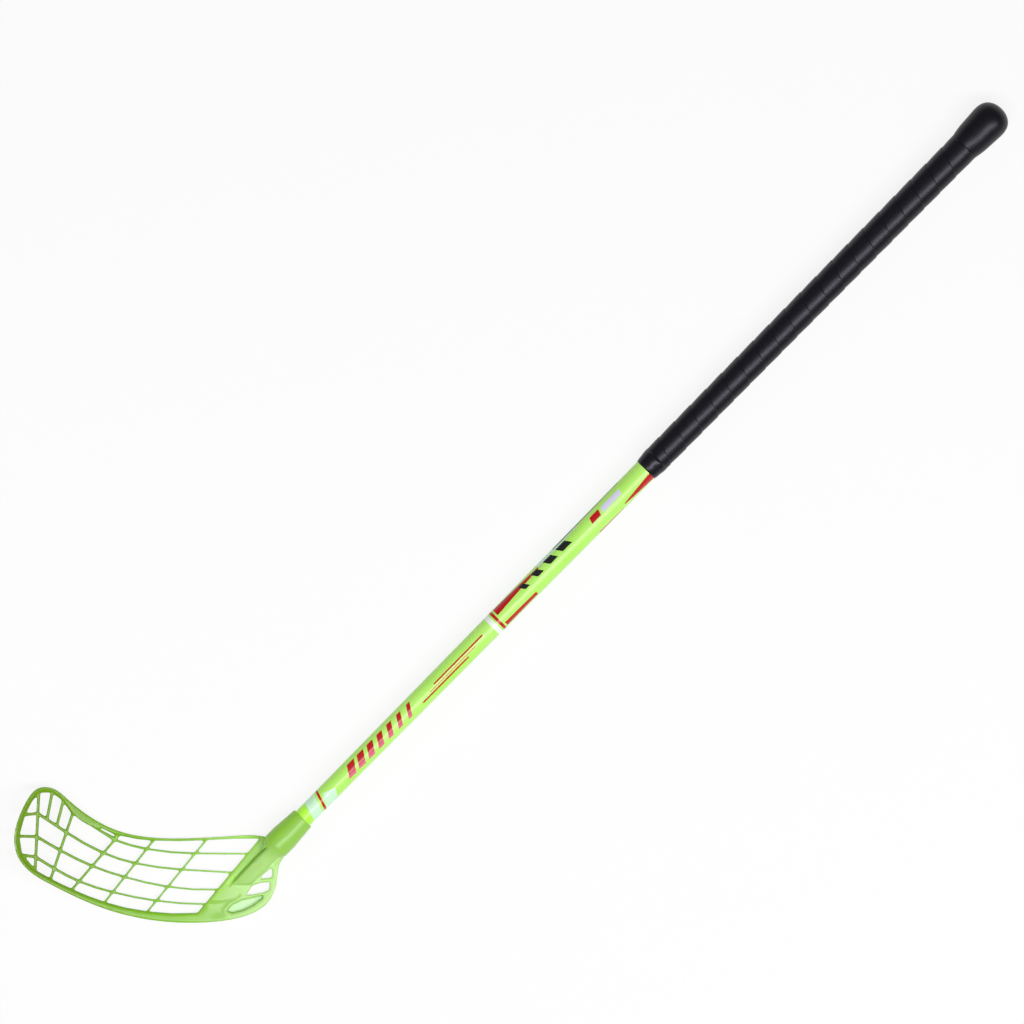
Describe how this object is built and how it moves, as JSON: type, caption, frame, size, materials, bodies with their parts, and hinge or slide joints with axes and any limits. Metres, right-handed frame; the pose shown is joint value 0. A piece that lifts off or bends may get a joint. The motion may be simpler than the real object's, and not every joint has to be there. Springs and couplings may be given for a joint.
{
  "type": "floorball stick",
  "caption": "Floorball stick with a tapered composite shaft, a hooked open-mesh blade, a wound grip and a domed butt cap; swung by hand to drive a light ball.",
  "frame": {"origin": "on the shaft's axis at the middle of the grip", "axes": "+X along the shaft towards the butt, +Y towards the side of the blade's toe, +Z out of the hollow front of the blade, up when the stick lies on its back"},
  "size_m": [1.1763, 0.2351, 0.0378],
  "materials": {
    "shaft_lacquer": "gloss lacquer over a fibre tube",
    "blade_plastic": "moulded, slightly translucent",
    "screw_steel": "zinc plated",
    "grip_foam": "matt, soft",
    "vinyl": "satin",
    "cap_rubber": "matt",
    "plug_plastic": "moulded"
  },
  "bodies": {
    "root": {"shaft_tube": "shaft_lacquer", "blade": "blade_plastic", "blade_screw_upper": "screw_steel", "blade_screw_lower": "screw_steel", "grip_tape": "grip_foam", "finishing_tape": "vinyl", "butt_cap": "cap_rubber", "end_plug": "plug_plastic"}
  },
  "joints": []
}
